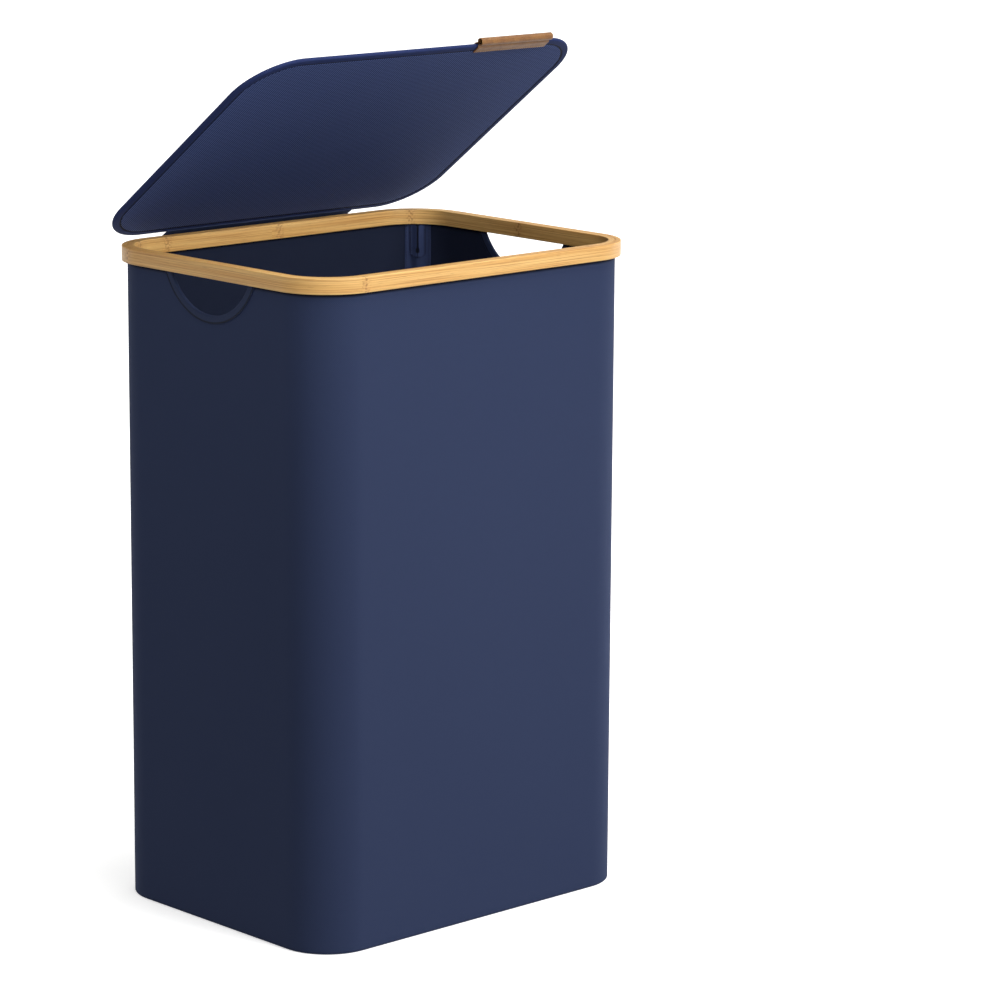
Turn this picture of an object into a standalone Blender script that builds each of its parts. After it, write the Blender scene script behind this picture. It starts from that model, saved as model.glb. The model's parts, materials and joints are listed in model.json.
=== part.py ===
"""Laundry hamper with a hinged lid.

A fabric body with rounded corners hangs from a bamboo rim, made of two bent
plies with the fabric's top edge between them. A rod in a sleeve in each corner
holds the rim up. The lid is a thin board with fabric covers, a bound edge and
a leather pull tab. A strip of fabric joins it to the back of the body: it
folds where it is sewn to the wall, and again at the edge of the lid.

X runs across, Y from the front to the hinged back, Z up. The origin is on the
floor under the middle of the body. Every size is in metres.
"""
import math

import bmesh
import bpy
from mathutils import Vector

# ---- overall ------------------------------------------------------------
WIDTH = 0.420               # outside of the rim, across X
DEPTH = 0.330               # outside of the rim, along Y
HEIGHT = 0.650              # floor to the top of the rim
CORNER_RADIUS = 0.0575      # outside corner of the rim, in plan
CORNER_FACETS = 16          # flat faces that make one rounded corner
GAP = 0.0003                # clearance between two pieces that touch

# ---- rim and body -------------------------------------------------------
RIM_HEIGHT = 0.015
OUTER_PLY = 0.0053          # thickness of the outer bamboo ply
INNER_PLY = 0.0054          # thickness of the inner bamboo ply, below its lip
RIM_LIP = 0.003             # height of the inner ply's lip over the fabric's edge
FABRIC = 0.0012             # thickness of the body's fabric
BASE = 0.002                # thickness of the fabric bottom
BASE_ROUND = 0.0015         # rounding of its lower edge
BASE_ROUND_FACETS = 4
SEAM_TAPE = 0.001           # tape over the seam between wall and bottom
BOARD = 0.003               # stiff board that lies in the bottom
BOARD_COVER = 0.0008        # fabric cover glued over that board

# ---- hand holes ---------------------------------------------------------
HAND_RADIUS = 0.0635        # finished edge of a hand hole
HAND_CENTRE_DROP = -0.013   # from the rim's top down to the hole's centre
HAND_TAPE = 0.0008          # thickness of the tape that binds the edge
HAND_TAPE_WIDTH = 0.0085
HAND_FACETS = 28

# ---- corner rods and their sleeves --------------------------------------
ROD_DIAMETER = 0.0025
CAP_DIAMETER = 0.004
CAP_LENGTH = 0.012
CAP_END = 0.003             # solid end of a cap, beyond its bore
CAP_CHAMFER = 0.0006
ROUND_FACETS = 16
SLEEVE = 0.0008             # thickness of the sleeve's fabric
SLEEVE_HALF_WIDTH = 0.0137
SLEEVE_SWELL_HALF_WIDTH = 0.0086
POCKET_HEIGHT = 0.033       # patch over the top of a sleeve
POCKET_ROUND = 0.0045       # depth of its rounded lower end
POCKET_RIM_GAP = 0.002      # from the patch's top up to the rim
SLIT_WIDTH = 0.0015
KEYHOLE_WIDTH = 0.0035
KEYHOLE_HEIGHT = 0.007
KEYHOLE_RISE = 0.005        # from the patch's lower end up to the keyhole

# ---- lid ----------------------------------------------------------------
LID_DEPTH = 0.320
LID_RADIUS = 0.0565
LID_THICKNESS = 0.004
LID_COVER = 0.0007          # thickness of each fabric cover and of the binding
LID_BINDING_WIDTH = 0.0085
LID_BOARD_SETBACK = 0.0016  # from the lid's edge to the board's edge
LID_EDGE_FACETS = 6
LID_SEAT = 0.0014           # from the rim's top to the underside of the shut lid
LID_OPEN = math.radians(36.65)

# ---- pull tab -----------------------------------------------------------
TAB_WIDTH = 0.094
TAB_CENTRE_X = 0.107
TAB_LEATHER = 0.001
TAB_LEG = 0.009             # length of each leg on the lid
TAB_REACH = 0.009           # how far the loop stands out from the lid
TAB_FACETS = 10

# ---- hinge strip --------------------------------------------------------
STRIP = 0.001               # thickness of the strip's fabric
STRIP_WIDTH = 0.241
STRIP_SEWN = 0.040          # length sewn to the wall, below the fold
STRIP_RIM_GAP = 0.0008      # from the shut strip to the back of the rim
FOLD_STANDOFF = 0.0041      # from the wall to the fold's axis
FOLD_DROP = 0.0103          # from the rim's underside down to the fold's axis
FOLD_TUCK = 0.0006          # radius of the sewn tuck that carries the fold
END_FACETS = 6

# ---- worked out from the sizes above ------------------------------------
# An inset is a distance inwards from the rim's outside, in plan.
WALL_OUT = OUTER_PLY + GAP
WALL_IN = WALL_OUT + FABRIC
INNER_PLY_OUT = WALL_IN + GAP
RIM_IN = INNER_PLY_OUT + INNER_PLY
RIM_FOOT = HEIGHT - RIM_HEIGHT
WALL_FOOT = BASE + GAP
WALL_TOP = HEIGHT - RIM_LIP - GAP
BOARD_TOP = WALL_FOOT + BOARD
COVER_TOP = BOARD_TOP + GAP + BOARD_COVER
TAPE_IN = WALL_IN + GAP + SEAM_TAPE
COVER_OUT = TAPE_IN + GAP
BOARD_OUT = COVER_OUT + BOARD_COVER + GAP
SLEEVE_FOOT = COVER_TOP + GAP
SLEEVE_TOP = RIM_FOOT - GAP
HAND_CENTRE_Z = HEIGHT - HAND_CENTRE_DROP
CORNER_IN = CORNER_RADIUS - WALL_IN          # radius of the wall's inside at a corner
ROD_CIRCLE = CORNER_IN - GAP - CAP_DIAMETER / 2
SLEEVE_SWELL = CAP_DIAMETER + 0.0004         # how far a sleeve stands out over its rod
LID_BACK = LID_DEPTH - DEPTH / 2
LID_AXIS_SETBACK = GAP + STRIP / 2           # from the lid's back edge to its axis
LID_AXIS = Vector((0, LID_BACK + LID_AXIS_SETBACK, HEIGHT + LID_SEAT + LID_THICKNESS / 2))
FOLD_AXIS = Vector((0, DEPTH / 2 - WALL_OUT + FOLD_STANDOFF, RIM_FOOT - FOLD_DROP))

# name: (colour, roughness, metallic)
FINISHES = {
    "bamboo": ((0.72, 0.47, 0.22, 1), 0.45, 0.0),
    "navy_fabric": ((0.042, 0.055, 0.110, 1), 0.85, 0.0),
    "navy_tape": ((0.036, 0.048, 0.095, 1), 0.75, 0.0),
    "brown_leather": ((0.16, 0.06, 0.03, 1), 0.5, 0.0),
    "grey_board": ((0.32, 0.28, 0.22, 1), 0.9, 0.0),
    "glass_rod": ((0.75, 0.75, 0.72, 1), 0.35, 0.0),
    "black_cap": ((0.02, 0.02, 0.02, 1), 0.5, 0.0),
}


def clear_scene():
    """Remove whatever the file holds."""
    for item in list(bpy.data.objects):
        bpy.data.objects.remove(item, do_unlink=True)


def material(node, finish):
    """A material of the node's own, in one of the finishes."""
    colour, roughness, metallic = FINISHES[finish]
    made = bpy.data.materials.new(f"{finish}_{node}")
    made.use_nodes = True
    shader = made.node_tree.nodes["Principled BSDF"]
    shader.inputs["Base Color"].default_value = colour
    shader.inputs["Roughness"].default_value = roughness
    shader.inputs["Metallic"].default_value = metallic
    return made


def add_object(name, bm, finish, parent=None, smooth=True):
    """Turn a bmesh into a named object, its faces pointing out."""
    bmesh.ops.recalc_face_normals(bm, faces=bm.faces)
    mesh = bpy.data.meshes.new(name)
    bm.to_mesh(mesh)
    bm.free()
    if smooth:
        mesh.shade_smooth()
        mesh.set_sharp_from_angle(angle=math.radians(35))
    made = bpy.data.objects.new(name, mesh)
    mesh.materials.append(material(name, finish))
    bpy.context.collection.objects.link(made)
    made.parent = parent
    return made


def outline(inset, width=WIDTH, depth=DEPTH, radius=CORNER_RADIUS, middle_y=0.0):
    """Rounded rectangle, anticlockwise, lying inset from the given outside."""
    points = []
    for turn, (side_x, side_y) in enumerate(((1, 1), (-1, 1), (-1, -1), (1, -1))):
        centre_x = side_x * (width / 2 - radius)
        centre_y = side_y * (depth / 2 - radius) + middle_y
        for step in range(CORNER_FACETS + 1):
            angle = (turn + step / CORNER_FACETS) * math.pi / 2
            x = centre_x + (radius - inset) * math.cos(angle)
            y = centre_y + (radius - inset) * math.sin(angle)
            points.append((x, y))
    return points


def bridge(bm, first, second):
    """Faces between two closed loops of the same number of vertices."""
    for here in range(len(first)):
        after = (here + 1) % len(first)
        bm.faces.new((first[here], first[after], second[after], second[here]))


def loops_of(bm, profile, plan):
    """One outline of vertices for each (inset, height) of a profile."""
    return [[bm.verts.new((x, y, z)) for x, y in outline(inset, **plan)] for inset, z in profile]


def band(name, profile, finish, parent=None, **plan):
    """A closed profile of (inset, height) pairs, carried once round the outline."""
    bm = bmesh.new()
    loops = loops_of(bm, profile, plan)
    for first, second in zip(loops, loops[1:] + loops[:1]):
        bridge(bm, first, second)
    return add_object(name, bm, finish, parent)


def slab(name, profile, finish, parent=None, **plan):
    """An open profile carried round the outline, closed by a flat face at each end."""
    bm = bmesh.new()
    loops = loops_of(bm, profile, plan)
    for first, second in zip(loops, loops[1:]):
        bridge(bm, first, second)
    bm.faces.new(loops[0])
    bm.faces.new(loops[-1])
    return add_object(name, bm, finish, parent)


def along_x(name, section, middle_x, width, finish, parent=None):
    """A closed (y, z) section extruded along X."""
    bm = bmesh.new()
    ends = [[bm.verts.new((middle_x + side * width / 2, y, z)) for y, z in section] for side in (-1, 1)]
    bridge(bm, *ends)
    for end in ends:
        bm.faces.new(end)
    return add_object(name, bm, finish, parent)


def arc(centre, radius, start, end, facets):
    """Points on an arc, both ends included, with angles in radians."""
    steps = [start + (end - start) * step / facets for step in range(facets + 1)]
    return [(centre[0] + radius * math.cos(a), centre[1] + radius * math.sin(a)) for a in steps]


def thick_line(line, thickness, round_ends):
    """Outline of an even strip that follows a line of (y, z) points."""
    points = [Vector(point) for point in line]
    runs = [(b - a).normalized() for a, b in zip(points, points[1:])]
    left = []
    right = []
    for index, point in enumerate(points):
        before = runs[max(index - 1, 0)]
        after = runs[min(index, len(runs) - 1)]
        middle = (before + after).normalized()
        square = Vector((-middle.y, middle.x)) / middle.dot(after)
        left.append(tuple(point + square * thickness / 2))
        right.append(tuple(point - square * thickness / 2))
    if not round_ends:
        return left + right[::-1]
    far = math.atan2(runs[-1].y, runs[-1].x)
    near = math.atan2(runs[0].y, runs[0].x)
    nose = arc(points[-1], thickness / 2, far + math.pi / 2, far - math.pi / 2, END_FACETS)
    heel = arc(points[0], thickness / 2, near - math.pi / 2, near - 3 * math.pi / 2, END_FACETS)
    return left[1:-1] + nose + right[-2:0:-1] + heel


# ---- rim and body -------------------------------------------------------
def make_rim():
    """Outer ply, and an inner ply whose lip covers the fabric's top edge."""
    outer = ((0, RIM_FOOT), (0, HEIGHT), (OUTER_PLY, HEIGHT), (OUTER_PLY, RIM_FOOT))
    band("rim_outer_ply", outer, "bamboo")
    lip = HEIGHT - RIM_LIP
    inner = (
        (WALL_OUT, HEIGHT),
        (RIM_IN, HEIGHT),
        (RIM_IN, RIM_FOOT),
        (INNER_PLY_OUT, RIM_FOOT),
        (INNER_PLY_OUT, lip),
        (WALL_OUT, lip),
    )
    band("rim_inner_ply", inner, "bamboo")


def make_hand_cutter():
    """Cylinder through both side walls, where the hands go in."""
    bm = bmesh.new()
    radius = HAND_RADIUS + HAND_TAPE + GAP
    ring = arc((0, HAND_CENTRE_Z), radius, 0, 2 * math.pi, 2 * HAND_FACETS)[:-1]
    ends = [[bm.verts.new((side * WIDTH, y, z)) for y, z in ring] for side in (-1, 1)]
    bridge(bm, *ends)
    for end in ends:
        bm.faces.new(end)
    cutter = add_object("hand_hole_cutter", bm, "navy_fabric")
    cutter.hide_render = True
    cutter.display_type = "WIRE"
    return cutter


def make_body():
    """Fabric wall, fabric bottom and the tape over their seam."""
    section = ((WALL_OUT, WALL_FOOT), (WALL_OUT, WALL_TOP), (WALL_IN, WALL_TOP), (WALL_IN, WALL_FOOT))
    wall = band("basket_wall", section, "navy_fabric")
    cut = wall.modifiers.new("hand_holes", "BOOLEAN")
    cut.operation = "DIFFERENCE"
    cut.object = make_hand_cutter()

    edge = arc((WALL_OUT + BASE_ROUND, BASE_ROUND), BASE_ROUND, -math.pi / 2, -math.pi, BASE_ROUND_FACETS)
    slab("base_panel", edge + [(WALL_OUT, BASE)], "navy_fabric")

    near = WALL_IN + GAP
    tape = ((near, WALL_FOOT), (near, COVER_TOP), (TAPE_IN, COVER_TOP), (TAPE_IN, WALL_FOOT))
    band("base_seam_tape", tape, "navy_tape")


def make_bottom_board():
    """Loose board in the bottom, under a fabric cover with a turned-down edge."""
    slab("bottom_board", ((BOARD_OUT, WALL_FOOT), (BOARD_OUT, BOARD_TOP)), "grey_board")
    inner = COVER_OUT + BOARD_COVER
    cover = (
        (inner, BOARD_TOP + GAP),
        (inner, WALL_FOOT),
        (COVER_OUT, WALL_FOOT),
        (COVER_OUT, COVER_TOP),
    )
    slab("bottom_board_cover", cover, "navy_fabric")


def make_hand_binding(name, side):
    """Tape folded over the edge of a hand hole, cut off level under the rim."""
    outside = GAP + HAND_TAPE
    inside = -(FABRIC + GAP)
    edge = HAND_RADIUS
    bed = edge + HAND_TAPE
    far = edge + HAND_TAPE_WIDTH
    section = (
        (far, outside),
        (edge, outside),
        (edge, inside - HAND_TAPE),
        (far, inside - HAND_TAPE),
        (far, inside),
        (bed, inside),
        (bed, GAP),
        (far, GAP),
    )
    wall_x = WIDTH / 2 - WALL_OUT
    cut_height = HAND_CENTRE_Z - (RIM_FOOT - GAP)
    bm = bmesh.new()
    stations = []
    for step in range(HAND_FACETS + 1):
        ring = []
        for radius, stand in section:
            dip = math.asin(cut_height / radius)
            angle = -math.pi + dip + (math.pi - 2 * dip) * step / HAND_FACETS
            y = radius * math.cos(angle)
            z = HAND_CENTRE_Z + radius * math.sin(angle)
            ring.append(bm.verts.new((side * (wall_x + stand), y, z)))
        stations.append(ring)
    for first, second in zip(stations, stations[1:]):
        bridge(bm, first, second)
    bm.faces.new(stations[0])
    bm.faces.new(stations[-1])
    add_object(name, bm, "navy_tape")


# ---- corner rods --------------------------------------------------------
def corner_point(side_x, side_y, along, radius):
    """Plan point at a corner: along the wall from its middle, and out from its centre."""
    angle = math.atan2(side_y, side_x) + along / CORNER_IN
    x = side_x * (WIDTH / 2 - CORNER_RADIUS) + radius * math.cos(angle)
    y = side_y * (DEPTH / 2 - CORNER_RADIUS) + radius * math.sin(angle)
    return x, y


def swell(along):
    """Height of a sleeve over the wall: one smooth hump over the rod."""
    if abs(along) >= SLEEVE_SWELL_HALF_WIDTH:
        return 0.0
    return SLEEVE_SWELL * math.cos(math.pi * along / (2 * SLEEVE_SWELL_HALF_WIDTH)) ** 2


def hump_stations():
    """Places across the hump, with the edges of the slit and keyhole among them."""
    half = [SLIT_WIDTH / 2, KEYHOLE_WIDTH / 2]
    step = (SLEEVE_SWELL_HALF_WIDTH - half[-1]) / 5
    half += [half[-1] + step * count for count in range(1, 6)]
    return [-along for along in half[::-1]] + half


def make_sleeve(name, side_x, side_y):
    """Fabric tunnel down the inside of a corner, over the rod."""
    stations = [-SLEEVE_HALF_WIDTH] + hump_stations() + [SLEEVE_HALF_WIDTH]
    back = CORNER_IN - GAP
    plan = [corner_point(side_x, side_y, along, back - swell(along)) for along in stations]
    plan += [corner_point(side_x, side_y, along, back - SLEEVE - swell(along)) for along in stations[::-1]]
    bm = bmesh.new()
    ends = [[bm.verts.new((x, y, z)) for x, y in plan] for z in (SLEEVE_FOOT, SLEEVE_TOP)]
    bridge(bm, *ends)
    for end in ends:
        bm.faces.new(end)
    add_object(name, bm, "navy_fabric")


def make_pocket(name, side_x, side_y):
    """Round-ended patch over the top of a sleeve, with a keyhole slit down its middle."""
    top = RIM_FOOT - POCKET_RIM_GAP
    foot = top - POCKET_HEIGHT
    columns = hump_stations()
    keyhole_foot = foot + KEYHOLE_RISE
    keyhole_top = keyhole_foot + KEYHOLE_HEIGHT
    back = CORNER_IN - GAP - SLEEVE - GAP
    bm = bmesh.new()
    layers = []
    for depth in (0.0, SLEEVE):
        grid = []
        for along in columns:
            share = along / SLEEVE_SWELL_HALF_WIDTH
            lowest = foot + POCKET_ROUND * (1 - math.sqrt(max(0.0, 1 - share * share)))
            x, y = corner_point(side_x, side_y, along, back - depth - swell(along))
            grid.append([bm.verts.new((x, y, z)) for z in (lowest, keyhole_foot, keyhole_top, top)])
        layers.append(grid)

    def kept(column, row):
        if not (0 <= column < len(columns) - 1 and 0 <= row < 3):
            return False
        middle = abs(columns[column] + columns[column + 1]) / 2
        opening = (0.0, KEYHOLE_WIDTH / 2, SLIT_WIDTH / 2)[row]
        return middle >= opening

    for column in range(len(columns) - 1):
        for row in range(3):
            if not kept(column, row):
                continue
            corners = ((column, row), (column + 1, row), (column + 1, row + 1), (column, row + 1))
            for grid in layers:
                bm.faces.new([grid[i][j] for i, j in corners])
            beside = ((column, row - 1), (column + 1, row), (column, row + 1), (column - 1, row))
            for edge, cell in enumerate(beside):
                if not kept(*cell):
                    (i, j), (k, m) = corners[edge], corners[(edge + 1) % 4]
                    front, rear = layers
                    bm.faces.new((front[i][j], front[k][m], rear[k][m], rear[i][j]))
    add_object(name, bm, "navy_tape")


def turned(bm, profile, x, y):
    """A (radius, height) profile turned about an upright axis, closed on the axis at both ends."""
    rings = []
    for radius, z in profile[1:-1]:
        circle = arc((x, y), radius, 0, 2 * math.pi, ROUND_FACETS)[:-1]
        rings.append([bm.verts.new((px, py, z)) for px, py in circle])
    for first, second in zip(rings, rings[1:]):
        bridge(bm, first, second)
    for ring, z in ((rings[0], profile[0][1]), (rings[-1], profile[-1][1])):
        pole = bm.verts.new((x, y, z))
        for here in range(ROUND_FACETS):
            bm.faces.new((ring[here], ring[(here + 1) % ROUND_FACETS], pole))


def make_rod(number, side_x, side_y):
    """Rod with a cap at each end: it stands on the board and bears under the rim."""
    x, y = corner_point(side_x, side_y, 0.0, ROD_CIRCLE)
    foot = SLEEVE_FOOT
    top = SLEEVE_TOP
    low = foot + CAP_END + GAP
    high = top - CAP_END - GAP
    bm = bmesh.new()
    turned(bm, ((0, low), (ROD_DIAMETER / 2, low), (ROD_DIAMETER / 2, high), (0, high)), x, y)
    add_object(f"support_rod_{number}", bm, "glass_rod")

    bore = ROD_DIAMETER / 2 + GAP
    outside = CAP_DIAMETER / 2
    for place, end, inwards in (("foot", foot, 1), ("top", top, -1)):
        floor = end + inwards * CAP_END
        mouth = end + inwards * CAP_LENGTH
        cap = (
            (0, end),
            (outside - CAP_CHAMFER, end),
            (outside, end + inwards * CAP_CHAMFER),
            (outside, mouth),
            (bore, mouth),
            (bore, floor),
            (0, floor),
        )
        bm = bmesh.new()
        turned(bm, cap, x, y)
        add_object(f"rod_cap_{place}_{number}", bm, "black_cap")


# ---- lid and hinge ------------------------------------------------------
def add_axis(name, place, turn, parent=None):
    """Empty on a joint's axis: turning it opens what is parented to it."""
    empty = bpy.data.objects.new(name, None)
    bpy.context.collection.objects.link(empty)
    empty.parent = parent
    empty.location = place
    empty.rotation_euler = (-turn, 0, 0)
    return empty


def make_sewn_strip():
    """Part of the hinge strip that is sewn flat to the wall, with the tuck at its fold."""
    back = DEPTH / 2 - WALL_OUT + GAP
    face = back + STRIP
    tuck_y = FOLD_AXIS.y - STRIP / 2 - GAP - FOLD_TUCK
    tuck = arc((tuck_y, FOLD_AXIS.z), FOLD_TUCK, -math.pi / 2, math.pi / 2, END_FACETS)
    foot = FOLD_AXIS.z - STRIP_SEWN
    top = RIM_FOOT - GAP
    section = [(back, foot), (face, foot), (face, tuck[0][1])]
    section += tuck
    section += [(face, tuck[-1][1]), (face, top), (back, top)]
    along_x("hinge_strip_sewn", section, 0, STRIP_WIDTH, "navy_fabric")


def make_hinge_strip(fold):
    """Free part of the strip: up behind the rim, over its back edge and on to the lid."""
    behind = DEPTH / 2 + STRIP_RIM_GAP + STRIP / 2
    line = [
        (FOLD_AXIS.y, FOLD_AXIS.z),
        (behind, RIM_FOOT - 2 * STRIP),
        (behind, HEIGHT - STRIP),
        (behind - 0.7 * STRIP, HEIGHT + STRIP),
        (LID_AXIS.y, LID_AXIS.z),
    ]
    local = [(y - FOLD_AXIS.y, z - FOLD_AXIS.z) for y, z in line]
    along_x("hinge_strip", thick_line(local, STRIP, True), 0, STRIP_WIDTH, "navy_fabric", fold)


def make_lid(hinge):
    """Board, two covers and the binding, built about the lid's own axis."""
    plan = {
        "width": WIDTH,
        "depth": LID_DEPTH,
        "radius": LID_RADIUS,
        "middle_y": -(LID_DEPTH / 2 + LID_AXIS_SETBACK),
    }
    face = LID_THICKNESS / 2
    under = face - LID_COVER
    core = under - GAP
    slab("lid_board", ((LID_BOARD_SETBACK, -core), (LID_BOARD_SETBACK, core)), "grey_board", hinge, **plan)

    cover_edge = LID_BINDING_WIDTH + GAP
    slab("lid_cover_top", ((cover_edge, under), (cover_edge, face)), "navy_fabric", hinge, **plan)
    slab("lid_cover_under", ((cover_edge, -face), (cover_edge, -under)), "navy_fabric", hinge, **plan)

    slot = LID_BOARD_SETBACK - GAP
    edge = arc((face, 0), face, math.pi / 2, 3 * math.pi / 2, LID_EDGE_FACETS)
    section = edge + [
        (LID_BINDING_WIDTH, -face),
        (LID_BINDING_WIDTH, -under),
        (slot, -under),
        (slot, under),
        (LID_BINDING_WIDTH, under),
        (LID_BINDING_WIDTH, face),
    ]
    band("lid_binding", section, "navy_tape", hinge, **plan)


def make_pull_tab(hinge):
    """Leather strip folded round the lid's front edge, with an open loop in front of it."""
    front = -(LID_DEPTH + LID_AXIS_SETBACK)
    half = LID_THICKNESS / 2 + GAP + TAB_LEATHER / 2
    bend_y = front - TAB_REACH + half + TAB_LEATHER / 2
    line = [(front + TAB_LEG, half)]
    line += arc((bend_y, 0), half, math.pi / 2, 3 * math.pi / 2, TAB_FACETS)
    line += [(front + TAB_LEG, -half)]
    along_x("pull_tab", thick_line(line, TAB_LEATHER, False), TAB_CENTRE_X, TAB_WIDTH, "brown_leather", hinge)


def main():
    """Build every piece, with the lid open as it stands."""
    clear_scene()
    make_rim()
    make_body()
    make_bottom_board()
    make_hand_binding("hand_binding_left", -1)
    make_hand_binding("hand_binding_right", 1)
    corners = ((-1, -1), (1, -1), (1, 1), (-1, 1))
    for number, (side_x, side_y) in enumerate(corners, start=1):
        make_sleeve(f"rod_sleeve_{number}", side_x, side_y)
        make_pocket(f"rod_pocket_{number}", side_x, side_y)
        make_rod(number, side_x, side_y)
    make_sewn_strip()
    fold = add_axis("strip_fold_axis", FOLD_AXIS, LID_OPEN)
    hinge = add_axis("lid_seam_axis", LID_AXIS - FOLD_AXIS, 0.0, fold)
    make_hinge_strip(fold)
    make_lid(hinge)
    make_pull_tab(hinge)


main()
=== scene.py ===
"""Looks for the laundry hamper with a hinged lid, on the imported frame.

Every new piece is a surface worked out with numpy, as whole arrays: a profile
carried round a rounded outline, or a section carried along a path. Lengths are
in metres. X runs across, Y from the front to the hinged back, Z up. An inset is
a distance inwards from an outline's outside, in plan.
"""

import json
import math

import bmesh
import bpy
import numpy as np
from mathutils import Matrix, Vector


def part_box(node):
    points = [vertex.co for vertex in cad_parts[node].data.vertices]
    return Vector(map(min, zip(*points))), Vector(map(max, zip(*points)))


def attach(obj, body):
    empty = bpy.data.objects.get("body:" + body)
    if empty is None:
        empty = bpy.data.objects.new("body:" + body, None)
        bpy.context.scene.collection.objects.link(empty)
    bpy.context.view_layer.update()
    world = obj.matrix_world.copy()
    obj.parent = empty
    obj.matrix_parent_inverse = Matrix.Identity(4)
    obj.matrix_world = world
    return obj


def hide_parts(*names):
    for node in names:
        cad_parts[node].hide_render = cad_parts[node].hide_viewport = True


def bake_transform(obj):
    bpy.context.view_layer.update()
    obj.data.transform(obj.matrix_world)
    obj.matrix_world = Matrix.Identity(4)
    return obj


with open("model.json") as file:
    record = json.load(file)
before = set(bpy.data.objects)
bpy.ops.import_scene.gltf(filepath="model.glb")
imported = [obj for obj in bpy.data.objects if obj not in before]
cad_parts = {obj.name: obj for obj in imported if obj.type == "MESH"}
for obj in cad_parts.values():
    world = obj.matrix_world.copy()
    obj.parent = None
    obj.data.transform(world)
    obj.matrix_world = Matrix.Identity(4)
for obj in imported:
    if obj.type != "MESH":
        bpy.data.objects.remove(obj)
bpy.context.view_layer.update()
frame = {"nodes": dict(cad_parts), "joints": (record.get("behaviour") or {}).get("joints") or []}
MM = 0.001

# ---- read from the frame ---------------------------------------------------
RIM_LOW, RIM_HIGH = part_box("rim_outer_ply")
WALL_LOW, WALL_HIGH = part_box("basket_wall")
BASE_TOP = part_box("base_panel")[1].z
COVER_LOW, COVER_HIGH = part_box("bottom_board_cover")
SLEEVE_LOW, SLEEVE_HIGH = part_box("rod_sleeve_1")
POCKET_LOW, POCKET_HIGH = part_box("rod_pocket_1")
SEWN_LOW, SEWN_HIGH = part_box("hinge_strip_sewn")
HAND_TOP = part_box("hand_binding_right")[1].z
TAB_LOW, TAB_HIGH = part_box("pull_tab")
AXES = {joint["name"]: np.array(joint["pos_m"]) for joint in frame["joints"]}
FOLD = AXES["strip_fold"]
SEAM = AXES["lid_seam"]

# ---- sizes that the boxes don't give ---------------------------------------
CORNER_RADIUS = 57.5 * MM      # outside corner of the rim
OUTER_PLY = 5.3 * MM
RIM_INSIDE = 12.5 * MM         # inset of the rim's inside face
RIM_LIP = 3.0 * MM             # height of the inner ply's lip
ARRIS = 0.9 * MM               # rounding of the rim's edges
FABRIC = 1.2 * MM              # body fabric
HAND_RADIUS = 63.5 * MM        # finished edge of a hand hole
HAND_CENTRE = RIM_HIGH.z + 13.0 * MM
HAND_TAPE = 0.8 * MM
HAND_TAPE_WIDTH = 8.5 * MM
SLEEVE = 0.8 * MM
SLEEVE_HALF_WIDTH = 13.7 * MM
HUMP = 4.4 * MM                # how far a sleeve stands out over its rod
HUMP_HALF_WIDTH = 8.6 * MM
POCKET_ROUND = 4.5 * MM
SLIT = 1.5 * MM
KEYHOLE = 3.5 * MM
KEYHOLE_LOW = 5.0 * MM         # from the pocket's lower end
KEYHOLE_TALL = 7.0 * MM
LID_OPEN = math.radians(36.65)
LID_DEPTH = 320.0 * MM
LID_RADIUS = 56.5 * MM
LID_SETBACK = 0.8 * MM         # from the lid's back edge to its axis
LID_FACE = 2.0 * MM            # half the lid's thickness
LID_COVER = 0.7 * MM
BINDING_WIDTH = 8.5 * MM
STRIP_HALF = 0.45 * MM         # half the thickness of the free hinge strip
PATCH_HALF = 0.5 * MM          # and of its sewn part
TAB_HALF = 0.5 * MM
TAB_LEG = 9.0 * MM
TAB_REACH = 9.0 * MM

WALL_OUT = RIM_HIGH.x - WALL_HIGH.x
WALL_IN = WALL_OUT + FABRIC
GAP = WALL_OUT - OUTER_PLY
CORNER_IN = CORNER_RADIUS - WALL_IN


# ---- arrays ----------------------------------------------------------------
def run_of(points):
    """Distance along a line of points, from its first one."""
    return np.concatenate([[0.0], np.cumsum(np.linalg.norm(np.diff(points, axis=0), axis=1))])


def rounded_outline(half_x, half_y, radius, middle_y=0.0, step=2 * MM, marks=()):
    """Stations round a rounded rectangle, anticlockwise from the middle of its back.

    Each has a spine point and an outward direction: the point inset by i lies at
    spine + direction * (radius - i). On a side the spine moves and the direction
    stays, and at a corner the spine stays and the direction turns a quarter.
    marks are extra places on the left and right sides, as y.
    """
    reach_x = half_x - radius
    reach_y = half_y - radius
    corners = np.array([(-reach_x, reach_y), (-reach_x, -reach_y), (reach_x, -reach_y), (reach_x, reach_y)])
    start = np.array([0.0, reach_y])
    ends = [start, corners[0], corners[1], corners[2], corners[3], start]
    spine, angle = [], []
    for turn in range(5):
        first, last = ends[turn], ends[turn + 1]
        length = np.linalg.norm(last - first)
        share = np.linspace(0, 1, max(2, round(length / step)), endpoint=False)
        if turn in (1, 3):
            share = np.union1d(share, np.abs(np.array(marks) - first[1]) / length)
        facing = (turn + 1) * math.pi / 2
        spine.append(first + share[:, None] * (last - first))
        angle.append(np.full(len(share), facing))
        if turn < 4:
            bend = np.linspace(0, 1, max(8, round(radius * math.pi / 2 / step)), endpoint=False)[1:]
            spine.append(np.repeat(last[None], len(bend) + 1, axis=0))
            angle.append(facing + np.concatenate([[0.0], bend]) * math.pi / 2)
    spine = np.concatenate(spine) + (0, middle_y)
    angle = np.concatenate(angle)
    direction = np.stack([np.cos(angle), np.sin(angle)], axis=1)
    edge = spine + direction * radius
    run = run_of(np.concatenate([edge, edge[:1]]))
    return {"spine": spine, "direction": direction, "radius": radius, "run": run, "edge": edge}


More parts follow.
